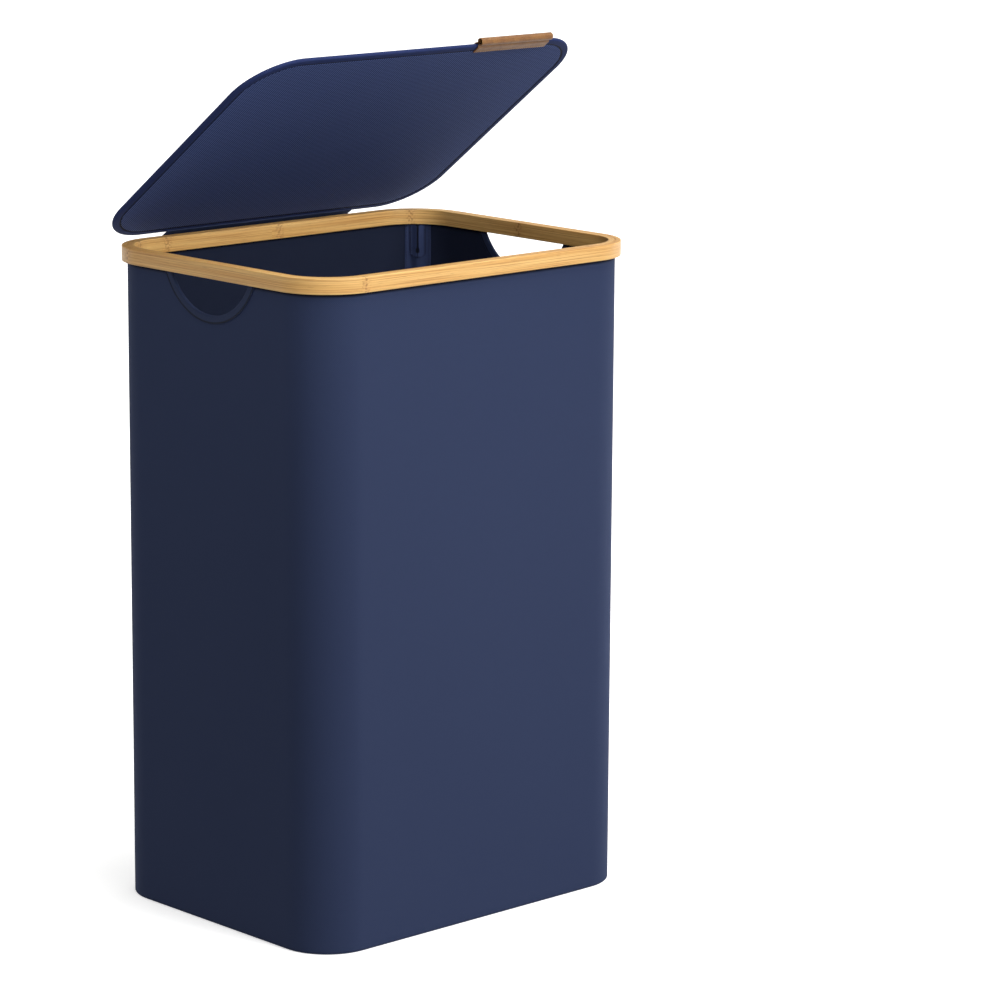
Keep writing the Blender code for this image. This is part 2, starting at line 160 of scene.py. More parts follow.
def inset_plan(plan, inset):
    """Plan points (x, y) at every station for one inset or for an array of insets."""
    out = plan["radius"] - np.atleast_1d(inset)
    return plan["spine"][:, None, :] + plan["direction"][:, None, :] * out[None, :, None]


def carried(plan, profile):
    """A profile of (inset, height) pairs at every station: a grid of stations by profile points."""
    xy = inset_plan(plan, profile[:, 0])
    height = np.broadcast_to(profile[:, 1], xy.shape[:2])
    return np.dstack([xy, height])


def arc(centre, radius, start, end, count):
    """Points at equal angles on an arc, both ends included, in radians."""
    angle = np.linspace(start, end, count)
    return np.stack([centre[0] + radius * np.cos(angle), centre[1] + radius * np.sin(angle)], axis=1)


def rounded_corners(corners, reach, count=5, closed=True):
    """A line of corners, each replaced by the curve (1-t)^2 a + 2t(1-t) p + t^2 b.

    p is the corner, and a and b lie on its two sides, reach away from it.
    """
    corners = np.array(corners, float)
    reach = np.broadcast_to(reach, len(corners))
    before = np.roll(corners, 1, axis=0) - corners
    after = np.roll(corners, -1, axis=0) - corners
    before = corners + before / np.linalg.norm(before, axis=1)[:, None] * reach[:, None]
    after = corners + after / np.linalg.norm(after, axis=1)[:, None] * reach[:, None]
    t = np.linspace(0, 1, count)[None, :, None]
    bends = (1 - t) ** 2 * before[:, None] + 2 * t * (1 - t) * corners[:, None] + t**2 * after[:, None]
    if closed:
        return bends.reshape(-1, 2)
    return np.concatenate([corners[:1], bends[1:-1].reshape(-1, 2), corners[-1:]])


def spaced_evenly(line, step):
    """The same line with extra points, so that none are further apart than step."""
    run = run_of(line)
    at = np.union1d(run, np.linspace(0, run[-1], max(2, math.ceil(run[-1] / step))))
    at = at[np.concatenate([[True], np.diff(at) > 1e-7])]
    return np.stack([np.interp(at, run, line[:, axis]) for axis in range(line.shape[1])], axis=1)


def smooth_step(value, low, high):
    """3t^2 - 2t^3 of how far value is from low to high, held at 0 and 1 beyond them."""
    t = np.clip((value - low) / (high - low), 0, 1)
    return t * t * (3 - 2 * t)


def stood_open(local, axis=(0.0, 0.0, 0.0)):
    """Points given from a hinge axis with the lid shut, turned open by LID_OPEN and put on the axis.

    Without an axis it turns directions.
    """
    c, s = math.cos(LID_OPEN), math.sin(LID_OPEN)
    y, z = local[..., 1], local[..., 2]
    return np.stack([local[..., 0], c * y + s * z, c * z - s * y], axis=-1) + axis


# ---- meshes ----------------------------------------------------------------
def mesh_object(name, mesh, sharp=40):
    """Close doubled points, point the faces outwards, shade smooth and link the object."""
    bm = bmesh.new()
    bm.from_mesh(mesh)
    bmesh.ops.remove_doubles(bm, verts=bm.verts, dist=1e-7)
    bmesh.ops.recalc_face_normals(bm, faces=bm.faces)
    bm.to_mesh(mesh)
    bm.free()
    mesh.shade_smooth()
    mesh.set_sharp_from_angle(angle=math.radians(sharp))
    made = bpy.data.objects.new(name, mesh)
    bpy.context.scene.collection.objects.link(made)
    return made


def surface(name, points, uv, wrap=(False, False), caps=False, sharp=40, gap=None, **attributes):
    """Quads over a grid of points, with a UV map in metres.

    wrap joins the last row to the first and the last column to the first, and the
    UV grid then has that row or column once more. caps close the first and last
    rows with one face each. gap is a column after which there are no faces.
    attributes are named numbers at the points.
    """
    rows, columns = points.shape[:2]
    i, j = np.meshgrid(
        np.arange(rows if wrap[0] else rows - 1),
        np.arange(columns if wrap[1] else columns - 1),
        indexing="ij",
    )
    if gap is not None:
        i, j = np.delete(i, gap, axis=1), np.delete(j, gap, axis=1)
    corner_i = np.stack([i, i + 1, i + 1, i], axis=-1).reshape(-1, 4)
    corner_j = np.stack([j, j, j + 1, j + 1], axis=-1).reshape(-1, 4)
    faces = ((corner_i % rows) * columns + corner_j % columns).tolist()
    corner_uv = [uv[corner_i, corner_j].reshape(-1, 2)]
    if caps:
        faces.append(list(range(columns)))
        faces.append(list(range((rows - 1) * columns, rows * columns)))
        corner_uv += [uv[0, :columns], uv[-1, :columns]]
    mesh = bpy.data.meshes.new(name)
    mesh.from_pydata(points.reshape(-1, 3).tolist(), [], faces)
    layer = mesh.uv_layers.new(name="UVMap")
    layer.data.foreach_set("uv", np.concatenate(corner_uv).astype(np.float32).ravel())
    for title, value in attributes.items():
        value = np.broadcast_to(value, (rows, columns)).astype(np.float32)
        mesh.attributes.new(title, "FLOAT", "POINT").data.foreach_set("value", value.ravel())
    return mesh_object(name, mesh, sharp)


def uv_grid(across, along):
    """UV of a grid whose rows lie at the distances along, and its columns at across."""
    u, v = np.meshgrid(along, across, indexing="ij")
    return np.dstack([u, v])


def ring(name, plan, profile, sharp=40, lift=None, **attributes):
    """A closed profile carried once round an outline."""
    points = carried(plan, profile)
    if lift is not None:
        points = lift(points)
    across = run_of(np.concatenate([profile, profile[:1]]))
    return surface(name, points, uv_grid(across, plan["run"]), (True, True), sharp=sharp, **attributes)


def plate(name, plan, profile, shares=(0.8, 0.5, 0.2, 0.0), place=None):
    """A profile that runs from the middle of one face, over the edge, to the middle of the other.

    The edge is carried round the outline, and inside it each face is the edge's
    end line drawn in towards the outline's middle by each share in turn.
    """
    edge = carried(plan, profile)
    middle = plan["edge"].mean(axis=0)
    shares = np.array(shares)[None, :, None]

    def face(line):
        flat = middle + (line[:, None, :2] - middle) * shares
        return np.dstack([flat, np.broadcast_to(line[:, None, 2], flat.shape[:2])])

    points = np.concatenate([face(edge[:, 0])[:, ::-1], edge, face(edge[:, -1])], axis=1)
    uv = points[..., :2]
    uv = np.concatenate([uv, uv[:1]], axis=0)
    if place is not None:
        points = stood_open(points, place)
    return surface(name, points, uv, (True, False))


def ribbon(name, line, middle_x, half_width, half_thick, step=4 * MM):
    """A flat strip of even thickness along a line of (y, z) points, with rounded long edges.

    Its section is half_thick either side of the line and ends in half circles. It
    is carried square to the line.
    """
    forward = np.gradient(line, axis=0)
    forward /= np.linalg.norm(forward, axis=1)[:, None]
    square = np.stack([-forward[:, 1], forward[:, 0]], axis=1)
    flat = half_width - half_thick
    x = np.linspace(-flat, flat, max(8, round(2 * flat / step)))
    nose = np.linspace(math.pi / 2, -math.pi / 2, 7)[1:-1]
    right = np.stack([flat + half_thick * np.cos(nose), half_thick * np.sin(nose)], axis=1)
    upper = np.stack([x, np.full(len(x), half_thick)], axis=1)
    section = np.concatenate([upper, right, upper[::-1] * (1, -1), right[::-1] * (-1, 1)])
    place = line[:, None] + square[:, None] * section[None, :, 1:]
    points = np.dstack([np.broadcast_to(middle_x + section[:, 0], place.shape[:2]), place])
    across = run_of(np.concatenate([section, section[:1]]))
    return surface(name, points, uv_grid(across, run_of(line)), (False, True), caps=True)


def stitch_row(name, places, along, out, length, width=0.55 * MM, height=0.28 * MM):
    """One small thread shape at every place.

    Along a stitch t runs from -1 to 1: its half width is width/2 * (1 - t^4), and
    it arches out of the cloth by height * (1 - t^2). Its section is an oval of six points.
    """
    t = np.array([-1.0, -0.75, 0.0, 0.75, 1.0])
    turn = np.linspace(0, 2 * math.pi, 6, endpoint=False)
    full = np.maximum(1 - t**4, 0.12)[:, None]
    sideways = width / 2 * full * np.cos(turn)
    upwards = height * (1.05 - t[:, None] ** 2) * 0.7 + height * 0.5 * full * np.sin(turn)
    forwards = np.broadcast_to((t * length / 2)[:, None], sideways.shape)
    points = places[:, None, None]
    for shape, axis in ((forwards, along), (sideways, np.cross(out, along)), (upwards, out)):
        points = points + shape[None, ..., None] * axis[:, None, None]
    first = np.arange(len(places))[:, None, None] * t.size * turn.size
    i, j = np.meshgrid(np.arange(4), np.arange(6), indexing="ij")
    quads = np.stack([i * 6 + j, i * 6 + (j + 1) % 6, (i + 1) * 6 + (j + 1) % 6, (i + 1) * 6 + j], axis=-1)
    quads = (first + quads.reshape(1, -1, 4)).reshape(-1, 4)
    ends = (first + np.array([range(6), range(24, 30)])).reshape(-1, 6)
    mesh = bpy.data.meshes.new(name)
    mesh.from_pydata(points.reshape(-1, 3).tolist(), [], quads.tolist() + ends.tolist())
    return mesh_object(name, mesh, 60)


def stitches_on_line(line, pitch):
    """Middles and directions of stitches at an even pitch along a line of points."""
    run = run_of(line)
    count = int(run[-1] / pitch)
    at = (np.arange(count) + 0.5) * run[-1] / count

    def along_line(distance):
        return np.stack([np.interp(distance, run, line[:, axis]) for axis in range(3)], axis=1)

    along = along_line(at + pitch / 4) - along_line(at - pitch / 4)
    return along_line(at), along / np.linalg.norm(along, axis=1)[:, None]


def fitted(piece, body, slot, finish, *stands_for):
    """Give a piece its finish and its body, and hide the imported parts that it stands for."""
    piece.data.materials.append(finish)
    if body:
        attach(piece, body)
    if stands_for:
        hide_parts(*stands_for)
    return piece


# ---- materials -------------------------------------------------------------
MATH = "ShaderNodeMath"
MIX = "ShaderNodeMix"            # inputs 0 factor, 6 and 7 colours
COLOURS = {"out": 2, "data_type": "RGBA"}
RANGE = "ShaderNodeMapRange"     # inputs 0 value, 1 and 2 its range, 3 and 4 the new range
NOISE = "ShaderNodeTexNoise"
MAPPING = "ShaderNodeMapping"
ATTRIBUTE = "ShaderNodeAttribute"
COORDINATES = "ShaderNodeTexCoord"
SHADOW = "#04050d"               # painted shadow: the near black painted into creases, stitched grooves and the wall just under the rim


def linear(colour, share=1.0):
    """An sRGB hex colour as linear RGBA, made darker or lighter by a share."""
    parts = [int(colour[k : k + 2], 16) / 255 for k in (1, 3, 5)]
    parts = [c / 12.92 if c <= 0.04045 else ((c + 0.055) / 1.055) ** 2.4 for c in parts]
    return [c * share for c in parts] + [1.0]


def add_node(tree, kind, inputs=(), out=0, **settings):
    """Add a node with its settings, set or link its inputs, and return one of its outputs."""
    made = tree.nodes.new(kind)
    for name, value in settings.items():
        setattr(made, name, value)
    for name, value in dict(inputs).items():
        if isinstance(value, bpy.types.NodeSocket):
            tree.links.new(value, made.inputs[name])
        else:
            made.inputs[name].default_value = value
    return made.outputs[out]


def new_material(name, plain):
    """A material with one Principled shader, and the shader's plain values set on its own sockets."""
    made = bpy.data.materials.new(name)
    made.use_nodes = True
    shader = made.node_tree.nodes["Principled BSDF"]
    for socket, value in plain.items():
        shader.inputs[socket].default_value = value
    return made, made.node_tree


def patterned(made, colour, height=None, depth=0.0, strength=0.5):
    """Give a material's shader its colour pattern, and bumps of a depth where a height is given."""
    tree = made.node_tree
    shader = tree.nodes["Principled BSDF"]
    tree.links.new(colour, shader.inputs["Base Color"])
    if height is not None:
        bumps = {"Height": height, "Distance": depth, "Strength": strength}
        tree.links.new(add_node(tree, "ShaderNodeBump", bumps), shader.inputs["Normal"])
    return made


def along_surface(tree, source="UV"):
    """The place that a pattern follows, with its first two numbers: the UV map, or Object coordinates."""
    if source == "UV":
        place = add_node(tree, "ShaderNodeUVMap", uv_map="UVMap")
    else:
        place = add_node(tree, COORDINATES, out="Object")
    u = add_node(tree, "ShaderNodeSeparateXYZ", {0: place}, out=0)
    v = add_node(tree, "ShaderNodeSeparateXYZ", {0: place}, out=1)
    return place, u, v


def threads(tree, value, pitch):
    """sin(pi * value / pitch), which crosses zero once for every thread."""
    turned = add_node(tree, MATH, {0: value, 1: math.pi / pitch}, operation="MULTIPLY")
    return add_node(tree, MATH, {0: turned}, operation="SINE")


def yarn(roughness, specular, sheen, spread, tint="#9fb0d8"):
    """Plain values of polyester yarn: matt, with the light that fibre ends catch at a grazing angle."""
    return {
        "Roughness": roughness,
        "Specular IOR Level": specular,
        "Sheen Weight": sheen,
        "Sheen Roughness": spread,
        "Sheen Tint": linear(tint),
    }


def cloth(name, colour, pitch, crown, source="UV", sheen=0.0, back=0.38):
    """Polyester yarn in a plain weave under a thin coating: matt, a little uneven in its dye.

    sin * sin over both directions gives the weave: its size is a thread's crown, and
    its sign says which thread is on top. The back is darker: the coating's own tone,
    deepened by painted shade, and behind a pocket's slit it is painted shadow only.
    Where the seam share is set, painted shadow makes it nearly black.
    """
    made, tree = new_material(name, yarn(0.82, 0.14, sheen, 0.3))
    place, u, v = along_surface(tree, source)
    crossing = {0: threads(tree, u, pitch), 1: threads(tree, v, pitch)}
    weave = add_node(tree, MATH, crossing, operation="MULTIPLY")
    on_top = add_node(tree, RANGE, {0: weave, 1: -0.25, 2: 0.25})
    dye_and_painted_light = add_node(tree, MIX, {0: on_top, 6: linear(colour, 0.9), 7: linear(colour, 1.1)}, **COLOURS)
    dye = add_node(tree, NOISE, {"Vector": place, "Scale": 9.0, "Detail": 2.0})
    slubs = add_node(tree, MAPPING, {"Vector": place, "Scale": (1, 5, 1)})
    slubs = add_node(tree, NOISE, {"Vector": slubs, "Scale": 60.0, "Detail": 3.0})
    uneven = add_node(tree, MATH, {0: dye, 1: slubs}, operation="ADD")
    uneven = add_node(tree, MATH, {0: uneven, 1: 0.05}, operation="MULTIPLY")
    dye_and_painted_light = add_node(tree, MIX, {0: uneven, 6: dye_and_painted_light, 7: linear(colour, 0.55)}, **COLOURS)
    # the back face is darker: the coating's own tone deepened by painted shade; behind a pocket's slit this
    # darkening is painted shadow only
    coated = add_node(tree, ATTRIBUTE, out="Fac", attribute_name="coated_back")
    dye_and_painted_light = add_node(tree, MIX, {0: coated, 6: dye_and_painted_light, 7: linear(colour, back)}, **COLOURS)
    # painted shadow: where the seam share is set the colour goes nearly black, as on the wall just under the
    # rim
    painted_crease_shade = add_node(tree, ATTRIBUTE, out="Fac", attribute_name="seam")
    dye_and_painted_light = add_node(tree, MIX, {0: painted_crease_shade, 6: dye_and_painted_light, 7: linear(SHADOW)}, **COLOURS)
    crowns = add_node(tree, MATH, {0: weave}, operation="ABSOLUTE")
    return patterned(made, dye_and_painted_light, crowns, crown, 0.6)


def make_bamboo():
    """Bamboo strip, split, bent round a former, sanded and clear lacquered.

    Straight fibres streak it from end to end, here and there a dark one shows for a
    few millimetres, and each ply has a speckled node every few hundred millimetres.
    The lacquer lies thin, so the sanded edges shine softly and the rest is satin.
    """
    made, tree = new_material(
        "bamboo_bent_lacquered",
        {"Roughness": 0.5, "Specular IOR Level": 0.3, "Coat Weight": 0.3, "Coat Roughness": 0.36},
    )
    place = add_node(tree, "ShaderNodeUVMap", uv_map="UVMap")
    # a fibre bundle is about 0.4 mm wide and drawn as 0.9 mm, so that it shows
    patterns = {
        "bundle": ((9, 1100, 1), 3.0),
        "slice": ((3, 190, 1), 2.0),
        "dash": ((70, 1700, 1), 1.0),
        "fleck": ((330, 420, 1), 3.0),
    }
    grain = {}
    for kind, (scale, detail) in patterns.items():
        scaled = add_node(tree, MAPPING, {"Vector": place, "Scale": scale})
        grain[kind] = add_node(tree, NOISE, {"Vector": scaled, "Scale": 1.0, "Detail": detail})
    pale = add_node(tree, RANGE, {0: grain["slice"], 1: 0.3, 2: 0.7})
    wood = add_node(tree, MIX, {0: pale, 6: linear("#d29f58"), 7: linear("#e6bf7a")}, **COLOURS)
    streak = add_node(tree, RANGE, {0: grain["bundle"], 1: 0.42, 2: 0.70, 4: 0.75})
    wood = add_node(tree, MIX, {0: streak, 6: wood, 7: linear("#a66a2e")}, **COLOURS)
    dash = add_node(tree, RANGE, {0: grain["dash"], 1: 0.64, 2: 0.76, 4: 0.5})
    wood = add_node(tree, MIX, {0: dash, 6: wood, 7: linear("#7c4c1c")}, **COLOURS)
    node_here = add_node(tree, ATTRIBUTE, out="Fac", attribute_name="knot")
    flecks = add_node(tree, RANGE, {0: grain["fleck"], 1: 0.46, 2: 0.62, 4: 0.85})
    speckled = add_node(tree, MATH, {0: node_here, 1: flecks}, operation="MULTIPLY")
    wood = add_node(tree, MIX, {0: speckled, 6: wood, 7: linear("#8f5a28")}, **COLOURS)
    return patterned(made, wood, grain["bundle"], 0.05 * MM, 0.4)


def make_lid_cloth():
    """Polyester dobby: raised ribs from back to front, broken into dots, with a painted highlight on each
    dot.

    The height is a sine across the lid plus a smaller one along it. Ribs 1.5 mm
    apart are drawn 2.9 mm apart, so that they show.
    """
    made, tree = new_material("polyester_dobby_lid", yarn(0.8, 0.16, 0.02, 0.45))
    place, u, v = along_surface(tree)
    ribs = threads(tree, u, 1.45 * MM)
    dots = threads(tree, v, 1.3 * MM)
    dots = add_node(tree, MATH, {0: dots, 1: 0.55, 2: ribs}, operation="MULTIPLY_ADD")
    height = add_node(tree, RANGE, {0: dots, 1: -0.9, 2: 0.9})
    dye = add_node(tree, NOISE, {"Vector": place, "Scale": 12.0, "Detail": 2.0})
    dye_and_painted_light = add_node(tree, MIX, {0: dye, 6: linear("#1b2546"), 7: linear("#202b51")}, **COLOURS)
    # painted highlight: the higher a dot stands, the lighter it is painted
    dye_and_painted_light = add_node(tree, MIX, {0: height, 6: dye_and_painted_light, 7: linear("#586aa3")}, **COLOURS)
    return patterned(made, dye_and_painted_light, height, 0.2 * MM)


def make_tape(name, colour, roughness):
    """Woven polyester binding: close ribs run across it, and its stitched groove is painted dark, a painted
    shadow.
    """
    made, tree = new_material(name, yarn(roughness, 0.12, 0.02, 0.4, "#a3b4dc"))
    place, u, _ = along_surface(tree)
    ribs = add_node(tree, MATH, {0: threads(tree, u, 0.9 * MM)}, operation="ABSOLUTE")
    dull = linear(colour, 0.72)
    dye_and_painted_light = add_node(tree, MIX, {0: ribs, 6: dull, 7: linear(colour)}, **COLOURS)
    wear = add_node(tree, NOISE, {"Vector": place, "Scale": 90.0, "Detail": 3.0})
    wear = add_node(tree, MATH, {0: wear, 1: 0.25}, operation="MULTIPLY")
    dye_and_painted_light = add_node(tree, MIX, {0: wear, 6: dye_and_painted_light, 7: dull}, **COLOURS)
    # painted shadow: where the seam share is set, along a stitched groove or round a pocket's edge and slit,
    # the colour goes nearly black
    groove = add_node(tree, ATTRIBUTE, out="Fac", attribute_name="seam")
    dye_and_painted_light = add_node(tree, MIX, {0: groove, 6: dye_and_painted_light, 7: linear(SHADOW)}, **COLOURS)
    return patterned(made, dye_and_painted_light, ribs, 0.10 * MM)


def make_thread(name, colour):
    """Twisted polyester sewing thread: its plies speckle it, and it has a soft shine."""
    made, tree = new_material(name, {"Roughness": 0.6, "Specular IOR Level": 0.2})
    place = add_node(tree, COORDINATES, out="Object")
    plies = add_node(tree, NOISE, {"Vector": place, "Scale": 1500.0, "Detail": 2.0})
    spun = add_node(tree, MIX, {0: plies, 6: linear(colour), 7: linear(colour, 0.6)}, **COLOURS)
    return patterned(made, spun)


def make_leather():
    """Split leather with a pressed and pigmented coat: a pebbled grain of about 1 mm, cloudy brown, satin."""
    made, tree = new_material(
        "leather_coated_pressed",
        {"Roughness": 0.5, "Specular IOR Level": 0.35, "Coat Weight": 0.05, "Coat Roughness": 0.4},
    )
    place = add_node(tree, COORDINATES, out="Object")
    pebble = {"Vector": place, "Scale": 1 / (1.1 * MM)}
    pebbles = add_node(tree, "ShaderNodeTexVoronoi", pebble, out="Distance")
    pores = add_node(tree, NOISE, {"Vector": place, "Scale": 2200.0, "Detail": 2.0})
    clouds = add_node(tree, NOISE, {"Vector": place, "Scale": 110.0, "Detail": 4.0})
    cloudy = add_node(tree, RANGE, {0: clouds, 1: 0.3, 2: 0.7})
    hide = add_node(tree, MIX, {0: cloudy, 6: linear("#7a4f29"), 7: linear("#916635")}, **COLOURS)
    creases = add_node(tree, RANGE, {0: pebbles, 1: 0.35, 2: 0.75, 4: 0.35})
    hide = add_node(tree, MIX, {0: creases, 6: hide, 7: linear("#4d2f18")}, **COLOURS)
    grain = add_node(tree, MATH, {0: pores, 1: 0.4}, operation="MULTIPLY")
    grain = add_node(tree, MATH, {0: grain, 1: pebbles}, operation="SUBTRACT")
    return patterned(made, hide, grain, 0.12 * MM)


def make_board():
    """Dense grey board: pressed paper fibres leave it mottled and flecked, and quite matt."""
    made, tree = new_material("grey_board_pressed", {"Roughness": 0.9})
    place = add_node(tree, COORDINATES, out="Object")
    mottle = add_node(tree, NOISE, {"Vector": place, "Scale": 70.0, "Detail": 5.0})
    flecks = add_node(tree, NOISE, {"Vector": place, "Scale": 900.0, "Detail": 2.0})
    pale = add_node(tree, RANGE, {0: mottle, 1: 0.3, 2: 0.7})
    pulp = add_node(tree, MIX, {0: pale, 6: linear("#8b857a"), 7: linear("#a29c90")}, **COLOURS)
    flecks = add_node(tree, RANGE, {0: flecks, 1: 0.62, 2: 0.72, 4: 0.6})
    pulp = add_node(tree, MIX, {0: flecks, 6: pulp, 7: linear("#5f594f")}, **COLOURS)
    return patterned(made, pulp, mottle, 0.1 * MM, 0.4)


def make_glass_rod():
    """Pultruded glass fibre: pale resin, fine fibres drawn along it, and a gloss that they break up."""
    made, tree = new_material("glass_fibre_pultruded", {"Roughness": 0.38, "IOR": 1.52})
    place = add_node(tree, COORDINATES, out="Object")
    drawn = add_node(tree, MAPPING, {"Vector": place, "Scale": (3000, 3000, 25)})
    fibres = add_node(tree, NOISE, {"Vector": drawn, "Scale": 1.0, "Detail": 3.0})
    pale = add_node(tree, RANGE, {0: fibres, 1: 0.35, 2: 0.65})
    resin = add_node(tree, MIX, {0: pale, 6: linear("#cfd0c6"), 7: linear("#eceade")}, **COLOURS)
    return patterned(made, resin, fibres, 0.03 * MM, 0.4)


def make_cap_plastic():
    """Moulded black polyethylene: a little waxy, with the fine skin of a spark-eroded mould."""
    made, tree = new_material("polyethylene_moulded_black", {"Roughness": 0.5, "IOR": 1.51})
    place = add_node(tree, COORDINATES, out="Object")
    skin = add_node(tree, NOISE, {"Vector": place, "Scale": 2500.0, "Detail": 2.0})
    waxy = add_node(tree, MIX, {0: skin, 6: linear("#121214"), 7: linear("#1d1d20")}, **COLOURS)
    return patterned(made, waxy, skin, 0.03 * MM)


# the threads are 0.4 mm apart and drawn 1 mm apart, so that they show close to
BODY_CLOTH = cloth("polyester_coated_plain_weave", "#2b3552", 1.0 * MM, 0.10 * MM, sheen=0.05)
# the sleeve's dark back colour is used only behind its pocket's slit, as painted shadow
SLEEVE_CLOTH = cloth("polyester_coated_sleeve", "#2e3858", 1.0 * MM, 0.10 * MM, back=0.12)
FLAT_CLOTH = cloth("polyester_coated_bottom", "#2b3552", 1.0 * MM, 0.10 * MM, source="Object")
SEAM_TAPE = cloth("polyester_seam_tape_woven", "#262d50", 0.8 * MM, 0.08 * MM, source="Object")
LID_CLOTH = make_lid_cloth()
BODY_TAPE = make_tape("polyester_tape_woven", "#29334f", 0.7)
POCKET_TAPE = make_tape("polyester_pocket_woven", "#343f62", 0.75)
LID_TAPE = make_tape("polyester_lid_binding_woven", "#27335f", 0.75)
THREAD = make_thread("polyester_thread_navy", "#141a30")
TAB_THREAD = make_thread("polyester_thread_tan", "#b58f66")
BAMBOO = make_bamboo()
LEATHER = make_leather()
BOARD = make_board()
GLASS_ROD = make_glass_rod()
CAP_PLASTIC = make_cap_plastic()


def sew(name, seams, body, slot, thread=THREAD, pitch=3.4 * MM, length=2.4 * MM):
    """Stitches at an even pitch along each seam: a line of points, and the direction out of the cloth."""
    places, alongs, outs = [], [], []
    for line, out in seams:
        place, along = stitches_on_line(line, pitch)
        places.append(place)
        alongs.append(along)
        outs.append(np.broadcast_to(out, place.shape))
    place, along, out = (np.concatenate(part) for part in (places, alongs, outs))
    row = stitch_row(name, place, along, out, length)
    fitted(row, body, slot, thread)


# ---- rim -------------------------------------------------------------------
OUTER_KNOTS = ((-154, -165), (209, -122), (210, 96), (70, 165), (-120, 165), (-209, 120))
INNER_KNOTS = ((10, 165), (188, 158), (-134, 165), (210, 3), (-176, 160), (-60, -165), (140, -165))


def knot_strength(plan, places):
    """1 at each node of the bamboo, falling off as exp(-(d / 4.2 mm)^2) along the strip."""
    distance = np.linalg.norm(plan["edge"][:, None] - np.array(places)[None] * MM, axis=2)
    nearest = plan["run"][distance.argmin(axis=0)]
    length = plan["run"][-1]
    off = np.abs(plan["run"][:-1, None] - nearest[None])
    off = np.minimum(off, length - off)
    return np.exp(-((off / (4.2 * MM)) ** 2)).max(axis=1)[:, None]


def make_rim():
    """Two bent bamboo plies, their edges rounded over, with the fabric's edge between them."""
    plan = rounded_outline(RIM_HIGH.x, RIM_HIGH.y, CORNER_RADIUS, step=1.6 * MM)
    low, high = RIM_LOW.z, RIM_HIGH.z
    outer = rounded_corners(
        ((0, low), (0, high), (OUTER_PLY, high), (OUTER_PLY, low)),
        (ARRIS, ARRIS, 0.25 * MM, 0.25 * MM),
    )
    outer = ring("rim_outer", plan, outer, sharp=60, knot=knot_strength(plan, OUTER_KNOTS))
    fitted(outer, "basket", "bamboo", BAMBOO, "rim_outer_ply")
    lip = high - RIM_LIP
    inner = rounded_corners(
        (
            (WALL_OUT, high),
            (RIM_INSIDE, high),
            (RIM_INSIDE, low),
            (WALL_IN + GAP, low),
            (WALL_IN + GAP, lip),
            (WALL_OUT, lip),
        ),
        (0.25 * MM, ARRIS, ARRIS, 0.25 * MM, 0.1 * MM, 0.1 * MM),
    )
    inner = ring("rim_inner", plan, inner, sharp=60, knot=knot_strength(plan, INNER_KNOTS))
    fitted(inner, "basket", "bamboo", BAMBOO, "rim_inner_ply")


# ---- body ------------------------------------------------------------------
def wall_wave(x, y, z, along_x):
    """How far the cloth stands off true between two corners: up to about half a millimetre.

    A sum of slow sines of place, faded out towards the corners, the rim and the foot.
    """
    place = np.where(along_x, x / RIM_HIGH.x, y / RIM_HIGH.y)
    fade = smooth_step(0.70 - np.abs(place), 0.0, 0.45)
    fade = fade * smooth_step(z, 0.02, 0.12) * smooth_step(0.575 - z, 0.0, 0.12)
    slow = np.sin(place * 4.1 + z * 9.0) + 0.7 * np.sin(place * 2.3 - z * 15.0 + 1.3)
    return 0.30 * MM * fade * slow


def make_wall():
    """Fabric wall: a shell of two faces round the outline, cut away under the hand holes.

    At a height share s a point stands at foot + s * (top - foot), where top is
    the rim's groove, or over a hand hole the circle centre - sqrt(r^2 - y^2). Just
    under the rim the cloth is painted dark, a painted shadow cast by the rim.
    """
    cut = HAND_RADIUS + HAND_TAPE + GAP
    foot, top = WALL_LOW.z, WALL_HIGH.z
    reach = math.sqrt(cut**2 - (HAND_CENTRE - top) ** 2)
    plan = rounded_outline(RIM_HIGH.x, RIM_HIGH.y, CORNER_RADIUS, step=4 * MM, marks=(-reach, reach))
    near_rim = RIM_LOW.z + np.linspace(-5, 1, 9) * MM
    share = np.union1d(np.linspace(0, 1, 90), (near_rim - foot) / (top - foot))
    outside = inset_plan(plan, WALL_OUT)
    inside = inset_plan(plan, WALL_IN)
    on_side = np.abs(plan["direction"][:, 0]) > 0.9999
    y = plan["edge"][:, 1]
    over_hole = on_side & (np.abs(y) < reach)
    circle = HAND_CENTRE - np.sqrt(np.maximum(cut**2 - y**2, 0))
    head = np.where(over_hole, np.minimum(circle, top), top)
    z = foot + share[None, :] * (head[:, None] - foot)
    along_x = np.abs(plan["direction"][:, 1:]) > 0.5
    push = wall_wave(plan["edge"][:, :1], plan["edge"][:, 1:], z, along_x)
    faces = []
    for skin in (outside, inside):
        xy = skin + plan["direction"][:, None, :] * push[..., None]
        faces.append(np.dstack([xy, z]))
    points = np.concatenate([faces[0], faces[1][:, ::-1]], axis=1)
    heights = np.concatenate([z, z[:, ::-1], z[:, :1]], axis=1)
    heights = np.concatenate([heights, heights[:1]], axis=0)
    uv = np.dstack([np.broadcast_to(plan["run"][:, None], heights.shape), heights])
    # the inside face is darker: the coated back's own tone deepened by painted shade
    back = np.concatenate([0 * z, 1 + 0 * z], axis=1)
    # painted shadow of the rim: nearly black from 1.4 mm under the rim's lower edge upwards, fading out 4.4
    # mm below it
    painted_rim_shadow = 0.95 * smooth_step(z, RIM_LOW.z - 4.4 * MM, RIM_LOW.z - 1.4 * MM)
    painted_rim_shadow = np.concatenate([painted_rim_shadow, 0 * z], axis=1)
    wall = surface("fabric_wall", points, uv, (True, True), sharp=50, coated_back=back, seam=painted_rim_shadow)
    fitted(wall, "basket", "body_fabric", BODY_CLOTH, "basket_wall")


